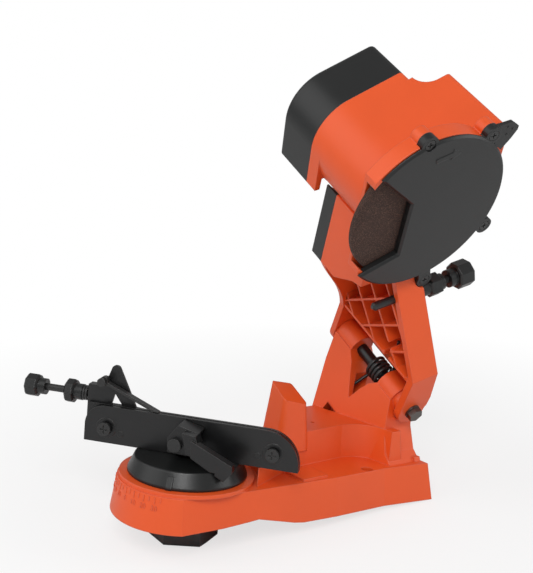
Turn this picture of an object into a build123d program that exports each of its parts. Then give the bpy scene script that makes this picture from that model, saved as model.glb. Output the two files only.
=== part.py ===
from build123d import *
from math import atan2, cos, degrees, hypot, pi, radians, sin, sqrt, tan
import os

# Electric bench sharpener for saw chains, all sizes in millimetres and degrees.
# Origin: middle of the two bench bolts, on the bench. +X to the yoke, -Y to the operator, +Z up.

# ---- general fits ----
AIR = 0.3                 # gap between pieces that face or pass each other
RUN = 0.06                # radial clearance of a pin in its bore
WALL = 3.0                # wall of the cast and moulded housings

# ---- bench base ----
DECK_Z = 27.0             # top of the flat deck
DECK_THICK = 5.0
BASE_DRAFT = 8.0          # outward flare of the side walls, degrees
BENCH_HOLE_R = 4.25
BENCH_HOLE_Y = 46.0       # each side of the origin
BASE_WALL = 5.0
RIB = 3.0
RIB_PITCH = 26.0
TABLE_X = -125.0          # turntable axis
PAD_R = 47.0              # round end under the turntable
PAD_TOP = 29.7
PAD_LEDGE = 1.2           # narrow step round the pad
FOOT_Z = 5.0              # underside of the turntable boss
NEAR_SIDE = [(-105.0, -44.0), (-33.0, -50.0), (13.0, -51.0), (52.0, -57.0)]
CREASE = (-153.4, -37.3)  # where the round end runs into the near side
MOUND_Z = 51.0
MOUND_Y = 34.0            # far wall of the raised middle
MOUND_WALLS = [(21, -47), (34, -47), (34, MOUND_Y), (-34, MOUND_Y),
               (-60, 4), (-58, -22), (-36, -19.6), (0, -18)]
SHELF_Z = 40.0
SHELF_X = -64.0           # the middle is lower beyond this, towards the turntable
SHELF_R = 49.0            # hollow end of the shelf, about the turntable
MOUND_DRAFT = 5.0

# ---- depth pillar ----
PILLAR_X = -47.0
PILLAR_Y = -7.0
PILLAR_WIDTH = 20.0       # along X at the top
PILLAR_DEPTH = 18.0       # along Y at the top
PILLAR_ROUND = 7.0        # upright edges, at the foot
PILLAR_FOOT = SHELF_Z - 2.0
PILLAR_CUT = 9.0          # what the sloping top is cut from
PILLAR_TOP = 79.0         # middle of the sloping top
PILLAR_DRAFT = 6.5

# ---- head hinge ----
PIVOT_X = 40.0
PIVOT_Y = -9.0
PIVOT_Z = 87.35
TILT = 30.0               # hinge axis below the horizontal, towards the operator
LEAN = 20.7               # arm behind the upright at rest
DROP = 58.0               # full swing of the head
BOLT_R = 3.0
SLEEVE_R = 4.7
YOKE_R = 11.2             # round tops of the two yoke prongs
NEAR_PRONG = (12.0, 30.0) # along the axis
NEAR_BOSS_R = 9.0
NEAR_BOSS_END = 37.0
FAR_PRONG = (-45.0, -24.0)
EAR_R = 12.0
EAR_THICK = 6.0

# ---- return spring ----
WIRE_R = 1.25
COIL_R = 7.8              # middle of the wire
COIL_PITCH = 3.4
COIL_TURNS = 4            # whole turns, besides the part turn between the legs
COIL_START = -6.0         # along the hinge axis
LOWER_LEG = (-12.5, -27.0)  # where the leg ends, across the axis
UPPER_LEG = (-14.0, 41.0)

# ---- grinding wheel and guard, along the wheel axis from the wheel's middle ----
REACH = 165.5             # hinge axis to wheel axis
WHEEL_R = 54.0
WHEEL_THICK = 3.2
WHEEL_BORE_R = 11.1
GUARD_R = 60.5
GUARD_AT = (1.5, -1.5)    # middle of the guard's disc
GUARD_SEAM = 5.2          # where the guard meets the ring behind it
GUARD_FACE = 7.4
GUARD_BEVEL = 1.5
NOTCH_WALL = 2.4
NOTCH_WALL_END = 2.2
NOTCH = [(-42.4, 40.6), (-14.7, 12.0), (-16.1, -31.3), (-44.6, -38.7)]
TAB = [(41.0, 55.0), (55.7, 55.0), (62.0, 50.0), (61.8, 47.0), (58.0, 41.0), (52.0, 34.0), (45.0, 40.0)]
TAB_DEPTHS = (3.0, 5.5)
TAB_DOTS = [(53.0, 51.5), (57.5, 49.0), (53.5, 45.5)]
ARROW = [(-4.0, 45.0), (9.0, 47.0), (9.0, 49.5), (15.5, 45.0), (8.5, 41.0), (8.5, 43.5), (-3.0, 41.8)]
LUGS = [(-10.5, 57.6), (41.3, 48.8), (57.5, -33.9), (15.0, -68.9)]
LUG_R = 6.2
LUG_FOOT = 1.0            # joint between a guard ear and the housing's lug
LUG_TOP = 6.4
GUARD_SCREW_R = 2.0
SCREW_CORE_R = 1.55       # in the housing
SCREW_HEAD_R = 3.6
SCREW_HEAD = 2.6
RAISED = 0.4              # height of raised marks

# ---- motor housing ----
MOTOR_R = 34.0
MOTOR_REAR = -80.0        # joint between housing and rear cover
COVER_REAR = -117.0
MOTOR_FOOT = -29.6        # flat underside of the rear end, below the wheel axis
FOOT_FRONT = -69.0        # the underside is round in front of this
ROOF_ANGLE = 105.0        # where the round side turns into the sloping roof
ROOF_SLOPE = 15.5
ROOF_ROUND = 4.0
SHROUD_RIGHT = 57.0
SHROUD_FRONT = 3.0
SHROUD_REAR = -59.0
SHROUD_FOOT = -20.0
SHROUD_FILLET = 12.0
RING_R = 59.5             # ring round the wheel
RING_INNER_R = 56.5
RING_REAR = -6.5
RECESS = -4.0             # floor of the room for the wheel
RING_LEFT = -45.5         # the ring stops here, so that the wheel shows in the notch

# ---- arm and wiring box, in the arm's own frame ----
ARM_LEFT = -7.0
ARM_RIGHT = 15.0
ARM_FAR = -50.5
FAR_WALL = 5.2
NEAR_EAR = 37.3
ARM_FOOT = 30.0
ARM_KNEE = 35.0
ARM_HEAD = REACH - 61.5
NEAR_HEAD = -1.0
RIB_THIN = 1.7
LATTICE_PITCH = 20.0
LATTICE_RISING = -3.0     # where the first rib of each direction meets the hinge axis's plane
LATTICE_FALLING = -2.0
BOX_LEFT = -33.0
BOX_LEFT_TOP = -29.2      # the left wall leans in towards the motor
BOX_FOOT = REACH - 81.5
BOX_STEP = [(-33.0, BOX_FOOT), (-14.0, BOX_FOOT + 13.0), (RECESS, BOX_FOOT + 16.5)]
BOX_COVER_REAR = -62.5
BOX_TOP = REACH - 20.5
COVER_WALL = 2.5
COVER_ROUND = 5.0
SWITCH_A = REACH - 47.5
SWITCH_B = -10.0
SWITCH_WIDE = 19.0
SWITCH_TALL = 13.0
SWITCH_BEZEL = 1.25       # rim of the switch round its cut-out
ROCKER_TURN = 9.0         # the rocker rests pressed down at one end
ROCKER_AXIS = 3.5         # inside the cover's face
GLAND_A = BOX_FOOT + 10.0
GLAND_R = 5.0
GLAND_BORE_R = 3.6

# ---- depth screw ----
DEPTH_A = 84.0
DEPTH_D = 3.5
DEPTH_TIP = -24.8
DEPTH_END = 40.0          # where the knob starts
LOCK_KNOB = (22.0, 32.0)  # grip of the lock knob
LOCK_END = 35.0
ROD_R = 3.0

# ---- turntable and vise, in the rail's own frame ----
RAIL_TURN = 52.0          # rail direction, clockwise from +X
TABLE_R = 40.4
TABLE_FOOT = PAD_TOP + AIR
TABLE_RIM = 31.5          # foot of the sloping side
TABLE_TOP = 41.2
TABLE_FLAT_R = 36.0
TABLE_ROUND = 1.5
RIDGE_WIDE = 4.4
TABLE_BOLT_R = 4.0
RAIL_LEFT = -74.0
RAIL_RIGHT = 76.0
RAIL_FOOT = 41.5
RAIL_TOP = 67.3
RAIL_THICK = 2.5
CHAIN_GAP = 1.8
RAIL_CURVE = 23.0
RAIL_SCREW_S = 58.6
RAIL_SCREW_Z = 52.0
RAIL_SCREW_R = 2.0
RAIL_HEAD_R = 4.6
RAISED_RING_R = 7.0
UPRIGHT_BACK = 11.0
LEVER_S = -4.1
LEVER_Z = 53.3
LEVER_SCREW_R = 2.5
STOP_Z = 71.0
STOP_BLOCK = (-75.5, -64.5)
PAWL_S = -62.7
PAWL_Z = 84.0
PAWL_THICK = 5.0
PAWL_TIP = 1.2            # between the jaws
PIN_R = 1.5
KNOB_R = 24.0
KNOB_TURN = 16.0
KNOB_TOP = 3.0
KNOB_FOOT = -15.0
PLATE_THICK = 2.0

RAIL_BACK = CHAIN_GAP / 2 + RAIL_THICK + 0.05
RAIL_FRONT_FACE = -CHAIN_GAP / 2 - RAIL_THICK
LEVER_BACK = RAIL_FRONT_FACE - RAISED - AIR
LEVER_HUB = -19.0         # front of the lever's hub
LEVER_GRIP = (-28.0, -21.0)
HEAD_GAP = 1.3            # the front jaw opens by this much under the screw heads

CENTRED = (Align.CENTER, Align.CENTER, Align.MIN)

# ---- frames ----
head_at = Plane(origin=(PIVOT_X, PIVOT_Y, PIVOT_Z), x_dir=(1, 0, 0),
                z_dir=(0, -cos(radians(TILT)), -sin(radians(TILT)))).location
arm_at = head_at * Rot(0, 0, LEAN)
wheel_at = arm_at * Pos(0, REACH, 0)
rail_at = Pos(TABLE_X, 0, 0) * Rot(0, 0, -RAIL_TURN)


def polygon(*points):
    """Flat face inside straight edges."""
    return make_face(Polyline(*points, close=True))


def slab(outline, low, high):
    """Prism of an outline in the local XY plane, between two heights."""
    return Pos(0, 0, low) * extrude(outline, amount=high - low)


def along_x(outline, low, high):
    """Prism of an outline drawn in Y and Z, between two X values."""
    start = Plane(origin=(low, 0, 0), x_dir=(0, 1, 0), z_dir=(1, 0, 0))
    return start.location * extrude(outline, amount=high - low)


def along_y(outline, low, high):
    """Prism of an outline drawn in X and Z, between two Y values."""
    start = Plane(origin=(0, high, 0), x_dir=(1, 0, 0), z_dir=(0, -1, 0))
    return start.location * extrude(outline, amount=high - low)


def across_arm(outline, low, high):
    """Prism of an outline drawn as (depth, height) on the arm, between two widths."""
    start = Plane(origin=(high, 0, 0), x_dir=(0, 0, 1), z_dir=(-1, 0, 0))
    return start.location * extrude(outline, amount=high - low)


def rod(radius, low, high, x=0.0, y=0.0):
    """Upright round bar."""
    return Pos(x, y, low) * Cylinder(radius, high - low, align=CENTRED)


def bar_x(radius, low, high, y=0.0, z=0.0):
    """Round bar along X."""
    return Pos(low, y, z) * Rot(0, 90, 0) * Cylinder(radius, high - low, align=CENTRED)


def bar_y(radius, low, high, x=0.0, z=0.0):
    """Round bar along Y."""
    return Pos(x, low, z) * Rot(-90, 0, 0) * Cylinder(radius, high - low, align=CENTRED)


def hex_bar(across_flats, low, high):
    """Upright hexagonal bar."""
    return slab(RegularPolygon(across_flats / 2, 6, major_radius=False), low, high)


def save(node, part, place=None):
    """Write one sub-part to its STEP file, in the object's frame."""
    placed = part if place is None else place * part
    placed.label = node
    export_step(placed, f"parts/{node}.step")
    return placed


# ================= bench base =================

def deck_outline():
    """Outline of the deck: round under the turntable, widening to the yoke."""
    near = [CREASE, *NEAR_SIDE]
    far = [(x, -y) for x, y in reversed(near)]
    sides = Polyline(*near, *far)
    left = ThreePointArc(far[-1], (TABLE_X - PAD_R, 0), near[0])
    return make_face([*sides.edges(), left])


def base_foot():
    """What the underside leaves free: it rises towards the round end."""
    return polygon((-180, -10), (-180, 3), (TABLE_X, FOOT_Z), (-98, 7.5), (-69, 1), (-61, 0), (-61, -10))


def cells():
    """Ribbed hollow of the underside."""
    inner = offset(deck_outline(), -BASE_WALL, kind=Kind.INTERSECTION)
    hollow = slab(inner, -10, DECK_Z - DECK_THICK)
    for column in range(-3, 7):
        hollow -= Pos(TABLE_X + (column + 0.5) * RIB_PITCH, 0, 0) * Box(RIB, 160, 100)
    for row in range(-2, 2):
        hollow -= Pos(-60, (row + 0.5) * RIB_PITCH, 0) * Box(260, RIB, 100)
    hollow -= rod(12, -20, DECK_Z, x=TABLE_X)
    for side in (-1, 1):
        hollow -= rod(BENCH_HOLE_R + 4, -20, DECK_Z, y=side * BENCH_HOLE_Y)
    return hollow


def mound():
    """Raised middle that carries the pillar, lower beside the turntable."""
    hollow_side = ThreePointArc((0, -18), (15, -25), (21, -47))
    walls = Polyline(*MOUND_WALLS)
    high = extrude(Pos(0, 0, DECK_Z) * make_face([hollow_side, *walls.edges()]), amount=MOUND_Z - DECK_Z,
                   taper=MOUND_DRAFT)
    reach = sqrt(SHELF_R ** 2 - MOUND_Y ** 2)
    start = (TABLE_X + reach, MOUND_Y)
    end = (-95.5, -39.1)
    hollow_end = ThreePointArc(start, (TABLE_X + SHELF_R, 0), end)
    rim = Polyline(end, (-62, -25), (SHELF_X + 6, MOUND_Y), start)
    low = slab(make_face([hollow_end, *rim.edges()]), DECK_Z, SHELF_Z)
    return high + low


def pillar():
    """Tapered post that the depth screw comes down on, cut square to the screw."""
    grow = 2 * (PILLAR_TOP - PILLAR_FOOT) * tan(radians(PILLAR_DRAFT))
    foot = RectangleRounded(PILLAR_WIDTH + grow, PILLAR_DEPTH + grow, PILLAR_ROUND)
    post = extrude(foot, amount=PILLAR_TOP + PILLAR_CUT - PILLAR_FOOT, taper=PILLAR_DRAFT)
    post = Pos(PILLAR_X, PILLAR_Y, PILLAR_FOOT) * post
    lowered = radians(LEAN + DROP)
    along_screw = (cos(lowered), -sin(lowered) * sin(radians(TILT)), sin(lowered) * cos(radians(TILT)))
    top = Plane(origin=(PILLAR_X, PILLAR_Y, PILLAR_TOP), z_dir=along_screw)
    return post - top.location * Box(90, 90, 40, align=CENTRED)


def prong(depths, radius):
    """Round top of a yoke prong, on the hinge axis."""
    return head_at * rod(radius, depths[0], depths[1])


def on_axis(depth):
    """Y and Z of the hinge axis at a depth."""
    return (PIVOT_Y - depth * cos(radians(TILT)), PIVOT_Z - depth * sin(radians(TILT)))


def yoke():
    """Two prongs on one foot, with a leaning left face."""
    right = PIVOT_X + YOKE_R
    near_top = on_axis(NEAR_PRONG[1])
    near_inner = on_axis(NEAR_PRONG[0])
    far_inner = on_axis(FAR_PRONG[1])
    far_outer = on_axis(FAR_PRONG[0])
    window = [(-12.7, 79.1), (-6.2, 73.7), (2.6, 64.5), (4.8, 73.7), (8.0, 90.2)]
    near_side = [(-49, DECK_Z), (-42, 34), (-36.6, 50.6), near_top, near_inner]
    side = polygon(*near_side, *window, far_inner, far_outer, (33, 88), (36, DECK_Z))
    body = along_x(side, 5, right)
    face = Plane(origin=(20, -45, DECK_Z), z_dir=(-1, -0.11, 0.2))
    body -= face.location * Box(300, 300, 90, align=CENTRED)
    body += prong(NEAR_PRONG, YOKE_R)
    body += prong(FAR_PRONG, YOKE_R - 0.5)
    body += head_at * rod(NEAR_BOSS_R, NEAR_PRONG[1] - 8, NEAR_BOSS_END)
    skirt = polygon((-52, DECK_Z - 4), (-49, DECK_Z + 3), (36, DECK_Z + 3), (48, DECK_Z - 4))
    foot = along_x(skirt, right - 6, right)
    return body + foot


def base_casting():
    plate = extrude(Pos(0, 0, DECK_Z) * deck_outline(), amount=DECK_Z, dir=(0, 0, -1), taper=-BASE_DRAFT)
    plate -= along_y(base_foot(), -90, 90)
    plate -= cells()
    body = plate + rod(PAD_R - PAD_LEDGE, DECK_Z, PAD_TOP, x=TABLE_X)
    body += mound() + pillar() + yoke()
    patch = Pos(-49, -36, DECK_Z) * Box(22, 20, 1.6, align=CENTRED)
    body += patch
    body -= head_at * rod(BOLT_R + RUN, FAR_PRONG[0] - 5, NEAR_BOSS_END + 5)
    body -= head_at * rod(EAR_R + 1, NEAR_BOSS_END, NEAR_BOSS_END + 20)
    body -= rod(TABLE_BOLT_R + RUN, 0, 40, x=TABLE_X) + rod(14, -10, FOOT_Z, x=TABLE_X)
    for side in (-1, 1):
        body -= rod(BENCH_HOLE_R, -5, 40, y=side * BENCH_HOLE_Y)
    body -= rod(1.6, MOUND_Z - 8, MOUND_Z + 5, x=-16, y=-2)
    return body - head_at * spring_room()


def spring_room():
    """Room for the sleeve and the coil between the prongs, and the groove that the lower leg rests in."""
    room = rod(SLEEVE_R + AIR, FAR_PRONG[1], NEAR_PRONG[0])
    room += rod(COIL_R + WIRE_R + 1, COIL_START - 5, NEAR_PRONG[0])
    lean = degrees(atan2(LOWER_LEG[1], LOWER_LEG[0]))
    groove = Box(62, COIL_R + 2 * WIRE_R + 1, 22, align=(Align.MIN, Align.CENTER, Align.MIN))
    seat = Pos(0, COIL_R / 2, 0) * groove
    return room + Rot(0, 0, lean) * Pos(0, 0, COIL_START - 4.4) * seat


save("base_casting", base_casting())


# ================= head hinge =================

def torsion_spring():
    """Return spring: a coil of biarc quarter turns with two straight legs, as one tube."""
    start = coil_from()
    sweep_angle = coil_sweep()
    quarters = 4 * COIL_TURNS
    step = sweep_angle / quarters
    rise = COIL_PITCH / (2 * pi)

    def point(turned):
        angle = radians(start + turned)
        return Vector(COIL_R * cos(angle), COIL_R * sin(angle), COIL_START + rise * radians(turned))

    def tangent(turned):
        angle = radians(start + turned)
        return Vector(-COIL_R * sin(angle), COIL_R * cos(angle), rise).normalized()

    first_leg = point(0) - tangent(0) * leg_length(LOWER_LEG)
    last_leg = point(sweep_angle) + tangent(sweep_angle) * leg_length(UPPER_LEG)
    edges = [Line(first_leg, point(0))]
    for quarter in range(quarters):
        low = quarter * step
        edges += biarc(point(low), tangent(low), point(low + step), tangent(low + step))
    edges.append(Line(point(sweep_angle), last_leg))
    centre = [point(sweep_angle * i / 400) for i in range(401)]
    turn = int(400 * 360 / sweep_angle)
    pairs = [(i, j) for i in range(401) for j in range(i + turn // 2, 401)]
    gap = min((centre[i] - centre[j]).length for i, j in pairs) - 2 * WIRE_R
    print(f"return spring: least gap between turns {gap:.2f} mm")
    path = Wire([edge.edge() if hasattr(edge, "edge") else edge for edge in edges])
    return sweep(Plane(origin=first_leg, z_dir=tangent(0)) * Circle(WIRE_R), path=path)


def coil_from():
    """Angle where the lower leg runs into the coil."""
    return heading(LOWER_LEG) + leg_swing(LOWER_LEG) - 360


def coil_sweep():
    """Angle of the coil between the two legs."""
    return 360 * COIL_TURNS + heading(UPPER_LEG) - leg_swing(UPPER_LEG) - coil_from()


def heading(end):
    return degrees(atan2(end[1], end[0])) % 360


def leg_swing(end):
    """Angle about the axis between a leg's end and the point where it leaves the coil."""
    return degrees(atan2(leg_length(end), COIL_R))


def leg_length(end):
    return sqrt(hypot(*end) ** 2 - COIL_R ** 2)


def biarc(start, leaving, end, arriving):
    """Two arcs that meet smoothly and keep both end directions."""
    chord = end - start
    both = leaving + arriving
    mixed = chord.dot(both)
    reach = (sqrt(mixed ** 2 + chord.dot(chord) * (4 - both.dot(both))) - mixed) / (4 - both.dot(both))
    joint = (start + leaving * reach + end - arriving * reach) / 2
    first = TangentArc(start, joint, tangent=leaving)
    second = TangentArc(joint, end, tangent=first % 1)
    return [first, second]


def pivot_sleeve():
    return rod(SLEEVE_R, FAR_PRONG[1] + AIR, NEAR_PRONG[0] - AIR) - rod(BOLT_R + RUN, -60, 60)


def ring(outer, inner, low, high):
    """Flat or long ring."""
    return rod(outer, low, high) - rod(inner, low - 1, high + 1)


EAR_FRONT = NEAR_EAR + EAR_THICK
WASHER_TOP = EAR_FRONT + 1.4


def pivot_bolt():
    shank = rod(BOLT_R, ARM_FAR - 7.5, WASHER_TOP + 0.1)
    return shank + hex_bar(10, WASHER_TOP, WASHER_TOP + 4.2)


save("torsion_spring", torsion_spring(), head_at)
save("pivot_sleeve", pivot_sleeve(), head_at)
save("pivot_bolt", pivot_bolt(), head_at)
save("pivot_washer", ring(6.0, BOLT_R + RUN, EAR_FRONT, WASHER_TOP), head_at)
save("pivot_nut", hex_bar(10, ARM_FAR - 5.5, ARM_FAR - 0.05) - rod(BOLT_R + RUN, -90, 0), head_at)


# ================= head housing =================

def roof_height(x):
    """Height of the sloping roof above the wheel axis."""
    turn = radians(ROOF_ANGLE)
    return MOTOR_R * sin(turn) + (x - MOTOR_R * cos(turn)) * tan(radians(ROOF_SLOPE))


def motor_outline(flat_foot):
    """Section of the motor housing: round, with a sloping roof and, at the rear, a flat foot."""
    turn = radians(ROOF_ANGLE)
    roof_start = (MOTOR_R * cos(turn), MOTOR_R * sin(turn))
    corner = (MOTOR_R, roof_height(MOTOR_R))
    half = radians((180 + ROOF_ANGLE) / 2)
    side = ThreePointArc((-MOTOR_R, 0), (MOTOR_R * cos(half), MOTOR_R * sin(half)), roof_start)
    if flat_foot:
        foot = [(MOTOR_R, MOTOR_FOOT), (-MOTOR_R, MOTOR_FOOT), (-MOTOR_R, 0)]
        rest = Polyline(roof_start, corner, *foot).edges()
    else:
        under = ThreePointArc((MOTOR_R, 0), (0, -MOTOR_R), (-MOTOR_R, 0))
        rest = [*Polyline(roof_start, corner, (MOTOR_R, 0)).edges(), under]
    outline = make_face([side, *rest])
    return fillet(outline.vertices().sort_by(Axis.Y)[-1], ROOF_ROUND)


def shroud():
    """Square part of the housing on the right of the wheel, hollowed in towards the motor."""
    foot = ARM_HEAD - REACH - 4
    corner = (SHROUD_RIGHT, roof_height(SHROUD_RIGHT))
    outline = polygon((0, roof_height(0)), corner, (SHROUD_RIGHT, SHROUD_FOOT), (ARM_RIGHT, foot), (0, foot))
    outline = fillet(outline.vertices().sort_by(Axis.Y)[-1], ROOF_ROUND)
    rear = SHROUD_REAR - SHROUD_FILLET
    bend = ThreePointArc((MOTOR_R, rear),
                         (MOTOR_R + SHROUD_FILLET * (1 - cos(pi / 4)), rear + SHROUD_FILLET * sin(pi / 4)),
                         (MOTOR_R + SHROUD_FILLET, SHROUD_REAR))
    right = [(SHROUD_RIGHT, SHROUD_REAR), (SHROUD_RIGHT, SHROUD_FRONT)]
    left = [(-5, SHROUD_FRONT), (-5, rear), (MOTOR_R, rear)]
    walls = Polyline((MOTOR_R + SHROUD_FILLET, SHROUD_REAR), *right, *left)
    plan = make_face([bend, *walls.edges()])
    depth = Plane(origin=(0, 90, 0), x_dir=(1, 0, 0), z_dir=(0, -1, 0)).location * extrude(plan, amount=180)
    return slab(outline, rear, SHROUD_FRONT) & depth


def arm_side():
    """Side outline of the arm, as depth and height above the hinge axis."""
    return polygon((ARM_FAR, ARM_FOOT), (EAR_FRONT, ARM_FOOT), (EAR_FRONT, ARM_KNEE), (NEAR_HEAD, ARM_HEAD),
                   (ARM_FAR, ARM_HEAD))


def arm_pocket():
    """Open channel between the near and far walls, under the wiring box."""
    return polygon((ARM_FAR + FAR_WALL, ARM_FOOT + 2), (NEAR_EAR, ARM_FOOT + 2), (NEAR_EAR, ARM_KNEE),
                   (-4, 99.5), *reversed(BOX_STEP[:2]), (ARM_FAR + FAR_WALL, BOX_FOOT))


def lattice():
    """Diagonal ribs of the channel, both ways, level with its open face."""
    ribs = Part()
    width = ARM_RIGHT - ARM_LEFT - WALL
    pitch = LATTICE_PITCH * sqrt(2)
    for turn, first in ((45, LATTICE_FALLING), (-45, LATTICE_RISING)):
        for index in range(4):
            offset_a = first + index * pitch
            rib = Rot(turn, 0, 0) * Box(width, RIB_THIN, 160)
            ribs += Pos(ARM_LEFT + width / 2, offset_a, 0) * rib
    return ribs & across_arm(arm_pocket(), ARM_LEFT, ARM_RIGHT - WALL)


def ear(low, high):
    """Round end of a fork wall on the hinge axis."""
    width = polygon((ARM_LEFT, ARM_KNEE), (ARM_RIGHT, ARM_KNEE), (ARM_RIGHT, 8), (EAR_R, -2), (-EAR_R, 0))
    return slab(width, low, high) + rod(EAR_R, low, high)


def back_wall():
    """Right wall of the arm, carried down beside the yoke."""
    outline = polygon((EAR_R, -1), (EAR_R + 1, -1), (ARM_RIGHT, 8), (ARM_RIGHT, ARM_KNEE), (EAR_R, ARM_KNEE))
    return slab(outline, ARM_FAR, EAR_FRONT)


def leg_slot():
    """Slot in the ribs for the upper leg of the return spring."""
    end_depth = COIL_START + COIL_PITCH * coil_sweep() / 360
    depth = end_depth + COIL_PITCH / (2 * pi * COIL_R) * leg_length(UPPER_LEG)
    top = hypot(*UPPER_LEG) + WIRE_R + 1
    slot = Box(16, top - ARM_FOOT + 1, 4 * WIRE_R, align=(Align.MIN, Align.MAX, Align.CENTER))
    return Pos(ARM_LEFT - 3, top, depth - WIRE_R / 2) * slot


def far_wall():
    """Far wall of the arm, widening in a hollow curve to the wiring box."""
    curve = Spline((-11, 4), (-7.6, 27.9), (-15.5, 52.4), (-22.6, 64.6), (BOX_LEFT, BOX_FOOT))
    edge = Polyline((BOX_LEFT, BOX_FOOT), (ARM_RIGHT, BOX_FOOT), (ARM_RIGHT, ARM_KNEE), (11, 4), (-11, 4))
    return slab(make_face([curve, *edge.edges()]), ARM_FAR, ARM_FAR + FAR_WALL)


def arm():
    body = across_arm(arm_side(), ARM_LEFT, ARM_RIGHT)
    body -= across_arm(arm_pocket(), ARM_LEFT - 1, ARM_RIGHT - WALL)
    body += lattice()
    body -= leg_slot()
    body += ear(NEAR_EAR, EAR_FRONT) + ear(ARM_FAR, ARM_FAR + FAR_WALL) + far_wall() + back_wall()
    return body - rod(BOLT_R + RUN, -80, 80)


def wiring_box():
    """Box on the left of the arm, closed behind by its own cover."""
    high = REACH - 10
    profile = polygon((ARM_FAR, BOX_FOOT), *BOX_STEP, (RECESS, high), (ARM_FAR, high))
    return across_arm(profile, BOX_LEFT, ARM_RIGHT) & slab(box_outline(), ARM_FAR - 1, 10)


def box_outline():
    """Front view of the wiring box."""
    return polygon((BOX_LEFT, BOX_FOOT), (ARM_RIGHT, BOX_FOOT), (ARM_RIGHT, BOX_TOP), (BOX_LEFT_TOP, BOX_TOP))


def box_cover_outline():
    """The same behind, cut out for the motor housing."""
    return box_outline() - Pos(0, REACH) * Circle(MOTOR_R + 2 * AIR)


def box_hollow():
    """Room for the switch and the wires, open behind."""
    (step_d, step_a), (face_d, face_a) = BOX_STEP[0], BOX_STEP[1]
    front = [(step_d + 1, step_a + WALL), (face_d - 2, face_a + WALL), (face_d - 2, BOX_TOP)]
    profile = polygon((ARM_FAR - 1, step_a + WALL), *front, (ARM_FAR - 1, BOX_TOP))
    inner = across_arm(profile, BOX_LEFT, ARM_RIGHT)
    return (inner & slab(offset(box_outline(), -WALL), ARM_FAR - 1, 10)) - rod(MOTOR_R, -90, 10, y=REACH)


MOTOR_BORE_R = MOTOR_R - 4.0
MOTOR_FRONT_WALL = -20.0
BEARING_R = 11.0
BEARING_FRONT = -12.7
SHAFT_R = 4.0


def lug(x, y, low, high, room=0.0):
    """Screw ear: a round post with a neck to the rim."""
    wide = 1.6 * LUG_R + 2 * room
    neck = Box(hypot(x, y) - RING_R + 4, wide, high - low, align=(Align.MIN, Align.CENTER, Align.MIN))
    neck = Rot(0, 0, degrees(atan2(y, x))) * Pos(RING_R - 4, 0, low) * neck
    return rod(LUG_R + room, low, high, x=x, y=y) + neck


def motor_hollow():
    """Bore of the motor, the front bearing's seat and the hole for the shaft."""
    bore = rod(MOTOR_BORE_R, MOTOR_REAR - 1, MOTOR_FRONT_WALL)
    return bore + rod(BEARING_R + RUN, MOTOR_REAR, BEARING_FRONT) + rod(SHAFT_R + 2, MOTOR_REAR, 10)


def head_housing():
    left_of_ring = Pos(RING_LEFT, 0, 0) * Box(60, 200, 60, align=(Align.MAX, Align.CENTER, Align.CENTER))
    body = slab(motor_outline(False), FOOT_FRONT, RECESS) + slab(motor_outline(True), MOTOR_REAR, FOOT_FRONT)
    body += (rod(RING_R, RING_REAR, GUARD_SEAM - AIR) - left_of_ring) + shroud()
    for x, y in LUGS:
        body += lug(x, y, RING_REAR, LUG_FOOT)
    body -= rod(RING_INNER_R, RECESS, GUARD_SEAM + 1)
    body = Pos(0, REACH, 0) * body
    body += arm() + wiring_box()
    body -= box_hollow()
    body -= slab(offset(box_cover_outline(), AIR), MOTOR_REAR - 5, ARM_FAR)
    body -= Pos(0, REACH, 0) * motor_hollow()
    for x, y in LUGS:
        body -= Pos(0, REACH, 0) * lug(x, y, LUG_FOOT, 60, AIR)
        body -= rod(SCREW_CORE_R + RUN, RING_REAR + 2, 60, x=x, y=REACH + y)
    body -= Pos(0, DEPTH_A, DEPTH_D) * bar_x(ROD_R + RUN, DEPTH_TIP - 5, 90)
    return body


save("head_housing", head_housing(), arm_at)


# ================= wheel, guard and motor, about the wheel axis =================

def notch():
    """What the guard leaves open for the chain."""
    corner = (NOTCH[0][0] * 1.6, NOTCH[0][1] * 1.6)
    foot = (NOTCH[-1][0] * 1.6, NOTCH[-1][1] * 1.6)
    return polygon(corner, *NOTCH, foot)


def guard():
    """Moulded cap over the wheel: a bevelled disc with walls along the notch, four ears and a tab."""
    disc = Pos(*GUARD_AT) * Circle(GUARD_R)
    outline = disc - notch()
    rim = GUARD_FACE - GUARD_BEVEL
    bevel = Pos(*GUARD_AT, rim) * Cone(GUARD_R, GUARD_R - GUARD_BEVEL, GUARD_BEVEL, align=CENTRED)
    bevel -= Pos(0, 0, rim) * extrude(notch(), amount=GUARD_BEVEL, taper=-45)
    cap = slab(outline, GUARD_SEAM, rim) + bevel
    wall = (offset(notch(), NOTCH_WALL, kind=Kind.INTERSECTION) - notch()) & Circle(RING_INNER_R - AIR)
    cap += slab(wall & outline, NOTCH_WALL_END, rim)
    clear = rod(WHEEL_R + 0.6, -20, GUARD_SEAM)
    for x, y in LUGS:
        cap += lug(x, y, LUG_FOOT + 0.05, LUG_TOP) - clear
    cap += slab(polygon(*TAB), *TAB_DEPTHS) - rod(RING_R + AIR, -20, GUARD_SEAM)
    for x, y in TAB_DOTS:
        cap += rod(0.9, TAB_DEPTHS[0] + 1, TAB_DEPTHS[1] + RAISED, x=x, y=y)
    cap += slab(polygon(*ARROW), GUARD_FACE - 1, GUARD_FACE + RAISED)
    for x, y in LUGS:
        cap -= rod(GUARD_SCREW_R + RUN, -20, GUARD_FACE + 5, x=x, y=y)
        cap -= rod(SCREW_HEAD_R + AIR, LUG_TOP - SCREW_HEAD, GUARD_FACE + 5, x=x, y=y)
    return cap


def cross(size, low, high, x=0.0, y=0.0):
    """Cross recess of a screw head."""
    bar = Box(size, size / 5, high - low, align=CENTRED)
    return Pos(x, y, low) * (bar + Rot(0, 0, 90) * bar)


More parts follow.
